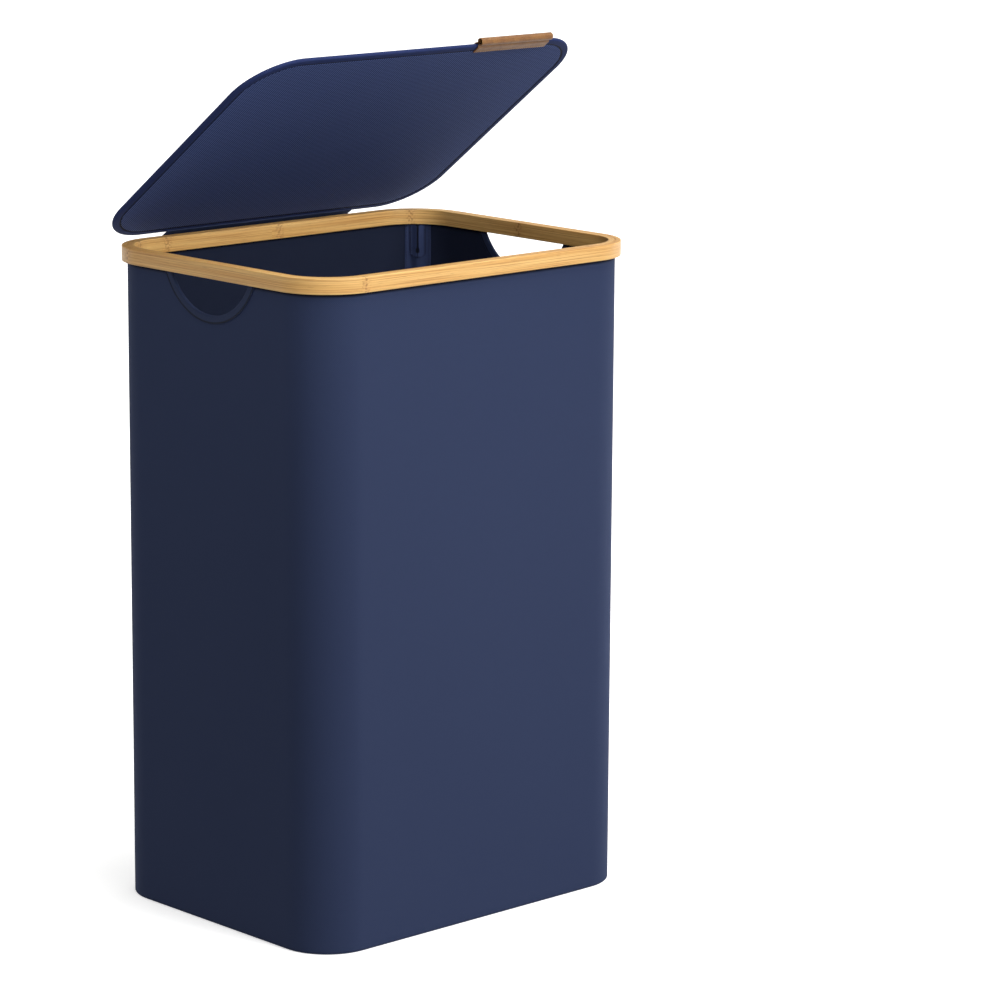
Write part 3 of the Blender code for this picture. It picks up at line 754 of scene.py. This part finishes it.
def make_bottom():
    """Fabric bottom with a rounded lower edge, and the covered board that lies on it."""
    plan = rounded_outline(RIM_HIGH.x, RIM_HIGH.y, CORNER_RADIUS, step=4 * MM)
    edge = 1.5 * MM
    round_edge = arc((WALL_OUT + edge, edge), edge, -math.pi / 2, -math.pi, 6)
    profile = np.concatenate([round_edge, [(WALL_OUT, BASE_TOP), (WALL_OUT + 0.2 * MM, BASE_TOP)]])
    base = plate("fabric_bottom", plan, profile)
    fitted(base, "basket", "body_fabric", FLAT_CLOTH, "base_panel")

    out = RIM_HIGH.x - COVER_HIGH.x
    thick = 0.8 * MM
    inner = out + thick
    turned = out + 4 * MM
    low, high = COVER_LOW.z, COVER_HIGH.z
    under = high - thick
    skirt = rounded_corners(
        ((turned, high), (out, high), (out, low), (inner, low), (inner, under), (turned, under)),
        (0, 1.2 * MM, 0.3 * MM, 0.3 * MM, 0.2 * MM, 0),
        closed=False,
    )
    cover = plate("bottom_board_fabric", plan, skirt)
    fitted(cover, "basket", "body_fabric", FLAT_CLOTH, "bottom_board_cover")


def make_hand_tapes():
    """Tape folded over each hand hole's edge, cut off level under the rim, and its stitches.

    Its section is a U: two legs joined by a half circle over the wall's edge, with
    a groove exp(-(d / 0.7 mm)^4) along its stitches. A point of it at radius r runs
    round the hole's centre between the two angles where r meets the cut level.
    """
    wall = WALL_HIGH.x
    middle = -FABRIC / 2
    outer = FABRIC / 2 + GAP + HAND_TAPE
    leg = middle - outer
    bend = (HAND_RADIUS + outer, middle)
    fold = arc(bend, outer, math.pi / 2, 3 * math.pi / 2, 12)
    back = arc(bend, outer - HAND_TAPE, 3 * math.pi / 2, math.pi / 2, 12)
    far = HAND_RADIUS + HAND_TAPE_WIDTH
    ends = np.array([(far - 0.2 * MM, leg), (far, leg + 0.3 * MM), (far, leg + HAND_TAPE)])
    seam = far - 1.3 * MM
    sunk = np.linspace(HAND_RADIUS + outer + 0.5 * MM, far - 0.3 * MM, 16)
    pull = np.exp(-(((sunk - seam) / (0.7 * MM)) ** 4))
    sunk = np.stack([sunk, leg + 0.3 * MM * pull], axis=1)
    inside = [(line * (1, -1) + (0, 2 * middle))[::-1] for line in (ends, sunk)]
    section = np.concatenate([fold, sunk, ends, back, *inside])
    # painted shadow along the stitched groove, as strong as the groove is deep
    dark = np.concatenate([0 * fold[:, 0], pull, np.zeros(2 * len(ends) + len(back)), pull[::-1]])
    cut = HAND_CENTRE - HAND_TOP
    share = np.linspace(0, 1, 97)
    dip = np.arcsin(cut / section[:, 0])
    angle = -math.pi + dip[None] + (math.pi - 2 * dip[None]) * share[:, None]
    across = run_of(np.concatenate([section, section[:1]]))
    low = math.asin(cut / seam) + 0.02
    turn = np.linspace(-math.pi + low, -low, 200)
    stand = outer - 0.2 * MM
    for name, side in (("left", -1), ("right", 1)):
        points = np.stack(
            [
                np.broadcast_to(side * (wall + section[:, 1]), angle.shape),
                section[:, 0] * np.cos(angle),
                HAND_CENTRE + section[:, 0] * np.sin(angle),
            ],
            axis=-1,
        )
        uv = uv_grid(across, share * 2.3 * HAND_RADIUS)
        band = surface(f"hand_tape_{name}", points, uv, (False, True), caps=True, seam=dark)
        fitted(band, "basket", "binding_tape", BODY_TAPE, f"hand_binding_{name}")
        for face, sign in (("out", 1), ("in", -1)):
            x = np.full(len(turn), side * (wall + middle + sign * stand))
            line = np.column_stack([x, seam * np.cos(turn), HAND_CENTRE + seam * np.sin(turn)])
            seams = [(line, np.array((side * sign, 0.0, 0.0)))]
            sew(f"hand_stitches_{name}_{face}", seams, "basket", "binding_tape", pitch=3.0 * MM)


# ---- corner sleeves --------------------------------------------------------
def hump(along):
    """How far a sleeve stands out over its rod: HUMP * cos^2, level beyond the half width."""
    inside = np.abs(along) < HUMP_HALF_WIDTH
    return np.where(inside, HUMP * np.cos(math.pi * along / (2 * HUMP_HALF_WIDTH)) ** 2, 0.0)


def corner_centre(side_x, side_y):
    """Centre of a corner's bend, on the floor."""
    return np.array([side_x * (RIM_HIGH.x - CORNER_RADIUS), side_y * (RIM_HIGH.y - CORNER_RADIUS), 0.0])


def at_corner(side_x, side_y, along, radius, z):
    """Points at a corner: along the wall from the corner's middle, at a radius from its centre."""
    centre = corner_centre(side_x, side_y)
    angle = math.atan2(side_y, side_x) + along / CORNER_IN
    x = centre[0] + radius * np.cos(angle)
    y = centre[1] + radius * np.sin(angle)
    return np.stack(np.broadcast_arrays(x, y, z), axis=-1)


def inwards(side_x, side_y, places):
    """Level directions from places at a corner to the centre of its bend."""
    out = (corner_centre(side_x, side_y) - places) * (1, 1, 0)
    return out / np.linalg.norm(out, axis=1)[:, None]


def make_sleeve(number, side_x, side_y):
    """Fabric tunnel over a rod: a hump of even thickness from the bottom board up to the rim.

    Behind its pocket's slit it is painted dark, a painted shadow in the slit.
    """
    along = np.linspace(-SLEEVE_HALF_WIDTH, SLEEVE_HALF_WIDTH, 57)
    back = CORNER_IN - GAP - hump(along)
    ends = smooth_step(SLEEVE_HALF_WIDTH - np.abs(along), -0.2 * MM, 0.7 * MM)
    front = back - SLEEVE * np.maximum(ends, 0.35)
    slit_foot = POCKET_LOW.z + KEYHOLE_LOW
    z = np.union1d(np.linspace(SLEEVE_LOW.z, SLEEVE_HIGH.z, 50), [slit_foot - 0.5 * MM, slit_foot])
    across = np.concatenate([along, along[::-1]])
    radius = np.concatenate([back, front[::-1]])
    points = at_corner(side_x, side_y, across[None], radius[None], z[:, None])
    uv = np.dstack(np.broadcast_arrays(np.append(across, across[0])[None], z[:, None]))
    # painted shadow in the slit: this band is marked as the dark back, which the sleeve cloth paints nearly
    # black
    inside = (np.abs(across)[None] < 2.2 * MM) & (z[:, None] >= slit_foot)
    sleeve = surface(f"sleeve_{number}", points, uv, (False, True), caps=True, coated_back=inside)
    fitted(sleeve, "basket", "body_fabric", SLEEVE_CLOTH, f"rod_sleeve_{number}")
    level = CORNER_IN - GAP - SLEEVE
    ends = np.array([SLEEVE_LOW.z, SLEEVE_HIGH.z])
    for face, sign in (("a", -1), ("b", 1)):
        seam = np.full(2, sign * (SLEEVE_HALF_WIDTH - 1.8 * MM))
        line = at_corner(side_x, side_y, seam, level, ends)
        seams = [(line, inwards(side_x, side_y, line)[0])]
        sew(f"sleeve_stitches_{number}{face}", seams, "basket", "body_fabric")


def make_pocket(number, side_x, side_y):
    """Patch over a sleeve's top: a round-ended tongue with a keyhole slit, its outer edge turned in.

    Each half is a grid from the opening's edge to the patch's outer edge, and they
    meet where the opening has no width. The outer edge is the hump's half width,
    drawn in by a quarter circle at the foot.
    """
    foot, top = POCKET_LOW.z, POCKET_HIGH.z
    hole = foot + KEYHOLE_LOW + KEYHOLE / 2
    hole_top = hole + KEYHOLE_TALL - KEYHOLE
    low = foot + POCKET_ROUND * (1 - np.cos(np.linspace(0, math.pi / 2, 12)))
    z = np.union1d(np.round(low, 7), np.round(np.linspace(foot, top, 70), 7))
    z = np.union1d(z, [hole - KEYHOLE / 2, hole + 1e-5, hole_top])
    drop = np.clip((foot + POCKET_ROUND - z) / POCKET_ROUND, 0, 1)
    outer = (HUMP_HALF_WIDTH - 0.1 * MM) * np.sqrt(1 - drop**2 * 0.999)
    circle = np.sqrt(np.maximum((KEYHOLE / 2) ** 2 - (hole - z) ** 2, 0))
    taper = SLIT / 2 + (KEYHOLE - SLIT) / 2 * (1 - smooth_step(z, hole_top - 2 * MM, hole_top + 1.5 * MM))
    inner = np.where(z > hole, taper, circle)
    share = np.linspace(0, 1, 15)
    along = inner[:, None] + (outer - inner)[:, None] * share[None]
    edge = np.minimum((outer[:, None] - along), (z - foot + 1e-6)[:, None])
    turned_in = 0.35 * MM * smooth_step(2.0 * MM - edge, 0.0, 0.8 * MM)
    radius = CORNER_IN - GAP - SLEEVE - GAP - SLEEVE - hump(along) - turned_in
    halves = [at_corner(side_x, side_y, sign * along, radius, z[:, None]) for sign in (-1, 1)]
    points = np.concatenate([halves[0][:, ::-1], halves[1]], axis=1)
    flat = np.concatenate([-along[:, ::-1], along], axis=1)
    uv = np.dstack([flat, np.broadcast_to(z[:, None], flat.shape)])
    # painted shadow along the pocket's outer edge and round its slit and keyhole
    near = np.minimum(edge, (along - inner[:, None]) * 1.2)
    shade = np.exp(-((np.maximum(near, 0) / (0.55 * MM)) ** 2))
    shade = np.concatenate([shade[:, ::-1], shade], axis=1)
    patch = surface(f"pocket_{number}", points, uv, gap=len(share) - 1, seam=shade)
    face = patch.data.polygons[len(patch.data.polygons) // 2]
    if face.normal.dot(inwards(side_x, side_y, np.array([face.center]))[0]) < 0:
        patch.data.flip_normals()
    wall = patch.modifiers.new("thickness", "SOLIDIFY")
    wall.thickness = SLEEVE
    wall.offset = -1
    fitted(patch, "basket", "binding_tape", POCKET_TAPE, f"rod_pocket_{number}")

    drop = np.linspace(math.pi / 2, 0, 20)
    seam = HUMP_HALF_WIDTH - 1.4 * MM
    side = np.concatenate([seam * np.cos(drop), [seam]])
    height = np.concatenate([foot + POCKET_ROUND - (POCKET_ROUND - 1.4 * MM) * np.sin(drop), [top]])
    side = np.concatenate([-side[::-1], side])
    height = np.concatenate([height[::-1], height])
    level = CORNER_IN - 2 * GAP - 2 * SLEEVE - hump(side) - 0.35 * MM
    place, ahead = stitches_on_line(at_corner(side_x, side_y, side, level, height), 2.6 * MM)
    out = inwards(side_x, side_y, place)
    row = stitch_row(f"pocket_stitches_{number}", place, ahead, out, length=2.0 * MM)
    fitted(row, "basket", "binding_tape", THREAD)


# ---- hinge strip -----------------------------------------------------------
def shut_to_rest(points):
    """(y, z) points of the shut hinge strip, turned open about the fold."""
    local = np.array([(0.0, y - FOLD[1], z - FOLD[2]) for y, z in points])
    return stood_open(local, FOLD)[:, 1:]


def make_hinge():
    """The strip sewn to the back of the wall, and its free part up over the rim on to the lid."""
    half = SEWN_HIGH.x
    face = SEWN_LOW.y + PATCH_HALF
    sewn_line = spaced_evenly(np.array([(face, SEWN_LOW.z), (face, SEWN_HIGH.z)]), 1 * MM)
    sewn = ribbon("hinge_strip_patch", sewn_line, 0.0, half, PATCH_HALF)
    fitted(sewn, "basket", "body_fabric", BODY_CLOTH, "hinge_strip_sewn")

    behind = RIM_HIGH.y + 1.3 * MM
    over = RIM_HIGH.z + 0.95 * MM
    lid_level = RIM_HIGH.z + 0.75 * MM
    tuck = [(face + 0.3 * MM, FOLD[2])]
    corners = np.array(
        [
            (FOLD[1], FOLD[2]),
            (behind, RIM_LOW.z - 2 * MM),
            (behind, over),
            (RIM_HIGH.y - 8 * MM, over),
            (RIM_HIGH.y - 10.5 * MM, lid_level),
            (RIM_HIGH.y - 14.0 * MM, lid_level),
        ]
    )
    line = np.concatenate([tuck, shut_to_rest(corners)])
    line = rounded_corners(line, (0, 1.3 * MM, 3 * MM, 2.0 * MM, 0.8 * MM, 0.8 * MM, 0), 9, closed=False)
    line = spaced_evenly(line, 0.9 * MM)
    middle = shut_to_rest([(behind, RIM_LOW.z + 6 * MM)])[0]
    part = int(np.linalg.norm(line - middle, axis=1).argmin())
    first = ribbon("hinge_strip_fold", line[: part + 1], 0.0, half, STRIP_HALF)
    second = ribbon("hinge_strip_lid_end", line[part:], 0.0, half, STRIP_HALF)
    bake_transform(first)
    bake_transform(second)
    for piece, piece_line in ((first, line[: part + 1]), (second, line[part:])):
        fitted(piece, None, "body_fabric", BODY_CLOTH, "hinge_strip")

    level = face + PATCH_HALF
    side = half - 2 * MM
    lines = []
    for z in (SEWN_LOW.z + 2.5 * MM, SEWN_LOW.z + 9 * MM, FOLD[2] - 3.5 * MM, SEWN_HIGH.z - 3 * MM):
        lines.append([(-side, level, z), (side, level, z)])
    for x in (-half + 2.2 * MM, half - 2.2 * MM):
        lines.append([(x, level, SEWN_LOW.z + 1 * MM), (x, level, FOLD[2] - 2 * MM)])
    out = np.array((0.0, 1.0, 0.0))
    sew("hinge_stitches", [(np.array(line), out) for line in lines], "basket", "body_fabric")


# ---- lid -------------------------------------------------------------------
def lid_plan(step):
    """The lid's outline, from its axis, with its front towards -Y."""
    return rounded_outline(RIM_HIGH.x, LID_DEPTH / 2, LID_RADIUS, -(LID_DEPTH / 2 + LID_SETBACK), step)


def make_lid_binding():
    """Tape wrapped round the lid's edge, with a stitched groove near its inner edges.

    The edge is a half circle, and each leg is level but for a low crown of 0.15 mm
    and a groove exp(-(d / 0.8 mm)^4) deep where the stitches pull it down.
    """
    seam = BINDING_WIDTH - 1.0 * MM
    inset = np.linspace(LID_FACE, BINDING_WIDTH - 0.25 * MM, 28)
    share = (inset - LID_FACE) / (BINDING_WIDTH - LID_FACE)
    pull = np.exp(-(((inset - seam) / (0.8 * MM)) ** 4))
    crown = 0.15 * MM * np.sin(math.pi * share) - 0.42 * MM * pull
    under = LID_FACE - LID_COVER
    upper = np.stack([inset, LID_FACE + crown], axis=1)
    nose = arc((LID_FACE, 0), LID_FACE, math.pi / 2, 3 * math.pi / 2, 14)[1:-1]
    inner = np.array([(BINDING_WIDTH, LID_FACE - 0.25 * MM), (BINDING_WIDTH, under), (1.3 * MM, under)])
    profile = np.concatenate([upper[::-1], nose, upper * (1, -1), inner * (1, -1), inner[::-1]])
    # painted shadow: the stitched grooves, and fully the binding's inner edges against the cover
    dark = np.concatenate([pull[::-1], 0 * nose[:, 0], pull, np.ones(6)])
    plan = lid_plan(2.5 * MM)
    binding = ring("lid_edge", plan, profile, lift=lambda points: stood_open(points, SEAM), seam=dark)
    fitted(binding, "lid", "lid_tape", LID_TAPE, "lid_binding")
    loop = inset_plan(lid_plan(1 * MM), seam)[:, 0]
    loop = np.concatenate([loop, loop[:1]])
    for face, sign in (("top", 1.0), ("under", -1.0)):
        line = np.column_stack([loop, np.full(len(loop), sign * (LID_FACE - 0.22 * MM))])
        seams = [(stood_open(line, SEAM), stood_open(np.array((0.0, 0.0, sign))))]
        sew(f"lid_stitches_{face}", seams, "lid", "lid_tape", pitch=3.2 * MM, length=2.5 * MM)


def make_lid_covers():
    """Fabric glued over both faces of the lid's board, its cut edge against the binding."""
    plan = lid_plan(3 * MM)
    edge = BINDING_WIDTH + 0.15 * MM
    face = LID_FACE - 0.06 * MM
    under = LID_FACE - LID_COVER
    inner = edge + 2 * MM
    profile = np.array(
        [
            (inner, face),
            (edge + 0.5 * MM, face),
            (edge + 0.12 * MM, face - 0.12 * MM),
            (edge, under + 0.1 * MM),
            (edge + 0.1 * MM, under),
            (inner, under),
        ]
    )
    for name, sign in (("top", 1), ("under", -1)):
        cover = plate(f"lid_fabric_{name}", plan, profile * (1, sign), (0.9, 0.6, 0.3, 0.0), SEAM)
        fitted(cover, "lid", "lid_fabric", LID_CLOTH, f"lid_cover_{name}")


def make_tab():
    """Leather strip folded round the lid's front edge, standing off it in an open loop."""
    front = -(LID_DEPTH + LID_SETBACK)
    half = LID_FACE + GAP + TAB_HALF
    roll = 3.2 * MM
    bend = front - TAB_REACH + roll + TAB_HALF
    nose = arc((bend, 0), roll, math.radians(55), math.radians(305), 26)
    leg = np.array([(front + TAB_LEG, half), (front + 0.5 * MM, half), (front - 2.2 * MM, 1.0 * MM), nose[0]])
    leg = rounded_corners(leg, (0, 1.2 * MM, 1.2 * MM, 0), 7, closed=False)
    line = np.concatenate([leg[:-1], nose, leg[-2::-1] * (1, -1)])
    line = spaced_evenly(line, 0.8 * MM)
    local = np.column_stack([np.zeros(len(line)), line])
    rest = stood_open(local, SEAM)[:, 1:]
    middle_x = (TAB_LOW.x + TAB_HIGH.x) / 2
    width = (TAB_HIGH.x - TAB_LOW.x) / 2
    tab = ribbon("leather_tab", rest, middle_x, width, TAB_HALF, step=2.5 * MM)
    fitted(tab, "lid", "tab_leather", LEATHER, "pull_tab")
    seam_y = front + TAB_LEG - 2.0 * MM
    reach = width - 2.5 * MM
    seams = []
    for sign in (1.0, -1.0):
        z = sign * (half + TAB_HALF)
        ends = np.array([(middle_x - reach, seam_y, z), (middle_x + reach, seam_y, z)])
        seams.append((stood_open(ends, SEAM), stood_open(np.array((0.0, 0.0, sign)))))
    sew("tab_stitches", seams, "lid", "tab_leather", TAB_THREAD)


# ---- pieces that keep their shape ------------------------------------------
def dress_cad_pieces():
    """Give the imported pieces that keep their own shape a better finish."""
    finishes = {"bottom_board": BOARD, "lid_board": BOARD, "base_seam_tape": SEAM_TAPE}
    for number in range(1, 5):
        finishes[f"support_rod_{number}"] = GLASS_ROD
        finishes[f"rod_cap_foot_{number}"] = CAP_PLASTIC
        finishes[f"rod_cap_top_{number}"] = CAP_PLASTIC
    for name, finish in finishes.items():
        for place in frame["nodes"][name].material_slots:
            place.material = finish


# ---- stage, light and camera -----------------------------------------------
def make_floor():
    """A plain pale floor, wide enough to fill the view."""
    reach = 60
    level = -0.4 * MM
    mesh = bpy.data.meshes.new("floor")
    angle = np.linspace(0, 2 * math.pi, 65)[:-1]
    rim = np.column_stack([reach * np.cos(angle), reach * np.sin(angle), np.full(len(angle), level)])
    mesh.from_pydata(rim.tolist(), [], [list(range(len(rim)))])
    floor = bpy.data.objects.new("floor", mesh)
    bpy.context.scene.collection.objects.link(floor)
    made, _ = new_material(
        "floor_paint_matt",
        {
            "Base Color": (0.95, 0.95, 0.95, 1),
            "Roughness": 0.9,
            "Specular IOR Level": 0.1,
            "Emission Color": (1, 1, 1, 1),
            "Emission Strength": 0.5,
        },
    )
    mesh.materials.append(made)
    floor.visible_diffuse = False


def add_light(name, kind, place, target, power, **settings):
    """A lamp at a place, turned to its target."""
    lamp = bpy.data.lights.new(name, kind)
    lamp.energy = power
    for key, value in settings.items():
        setattr(lamp, key, value)
    holder = bpy.data.objects.new(name, lamp)
    holder.location = place
    aim = Vector(target) - Vector(place)
    holder.rotation_euler = aim.to_track_quat("-Z", "Y").to_euler()
    holder.visible_camera = False
    bpy.context.scene.collection.objects.link(holder)


def make_light():
    """Pale surroundings, a soft top light, a broad key in front, and two weak narrow lights.

    One of these grazes the right-hand side and the other reaches into the opening.
    """
    world = bpy.data.worlds.new("studio")
    world.use_nodes = True
    tree = world.node_tree
    background = tree.nodes["Background"]
    background.inputs[0].default_value = (1.0, 0.99, 0.97, 1)
    facing = add_node(tree, "ShaderNodeTexCoord", out="Generated")
    height = add_node(tree, "ShaderNodeSeparateXYZ", {0: facing}, out=2)
    above = add_node(tree, RANGE, {0: height, 1: 0.05, 2: 0.45, 3: 0.2, 4: 0.75})
    high = add_node(tree, RANGE, {0: height, 1: 0.6, 2: 0.9, 3: 0.75, 4: 0.3})
    below = add_node(tree, RANGE, {0: height, 1: 0.0, 2: -0.3, 3: 0.2, 4: 0.28})
    strength = add_node(tree, MATH, {0: above, 1: high}, operation="MINIMUM")
    is_low = add_node(tree, MATH, {0: height, 1: 0.0}, operation="LESS_THAN")
    strength = add_node(tree, MIX, {0: is_low, 2: strength, 3: below}, data_type="FLOAT")
    tree.links.new(strength, background.inputs[1])
    bpy.context.scene.world = world
    middle = (0, 0, 0.4)
    add_light("top_light", "SUN", (0.9, -1.0, 3.0), (0, 0, 0), 1.9, angle=math.radians(50))
    add_light("key_light", "AREA", (0.55, -3.4, 2.3), middle, 93, shape="RECTANGLE", size=1.4, size_y=1.6)
    small = {"shape": "SQUARE", "size": 0.5}
    narrow, wider = math.radians(16), math.radians(17)
    add_light("side_light", "AREA", (2.6, -0.6, 0.5), (0.2, -0.1, 0.33), 0.3, spread=narrow, **small)
    add_light("inner_light", "AREA", (-1.6, -2.0, 1.9), (0.1, 0.1, 0.67), 0.3, spread=wider, **small)
    bpy.context.scene.view_settings.view_transform = "Standard"


def make_camera():
    """The camera's heading, slope and roll in degrees, its place and its lens."""
    heading, slope, roll = (math.radians(a) for a in (-43.23, 11.89, 0.377))
    place = Vector((-2.6217, -2.9720, 1.2276))
    level = math.cos(slope)
    back = Vector((math.sin(heading) * level, -math.cos(heading) * level, math.sin(slope)))
    sideways = Vector((0, 0, 1)).cross(back).normalized()
    upright = back.cross(sideways)
    right = sideways * math.cos(roll) + upright * math.sin(roll)
    up = upright * math.cos(roll) - sideways * math.sin(roll)
    camera = bpy.data.cameras.new("camera")
    camera.sensor_width = 36
    camera.lens = 147.71
    camera.clip_end = 200
    holder = bpy.data.objects.new("camera", camera)
    turn = Matrix((right, up, back)).transposed()
    holder.matrix_world = Matrix.Translation(place) @ turn.to_4x4()
    bpy.context.scene.collection.objects.link(holder)
    bpy.context.scene.camera = holder


def main():
    """Make every piece, the stage and the camera."""
    make_camera()
    make_rim()
    make_wall()
    make_bottom()
    make_hand_tapes()
    for number, corner in enumerate(((-1, -1), (1, -1), (1, 1), (-1, 1)), start=1):
        make_sleeve(number, *corner)
        make_pocket(number, *corner)
    make_hinge()
    make_lid_binding()
    make_lid_covers()
    make_tab()
    dress_cad_pieces()
    make_floor()
    make_light()


main()
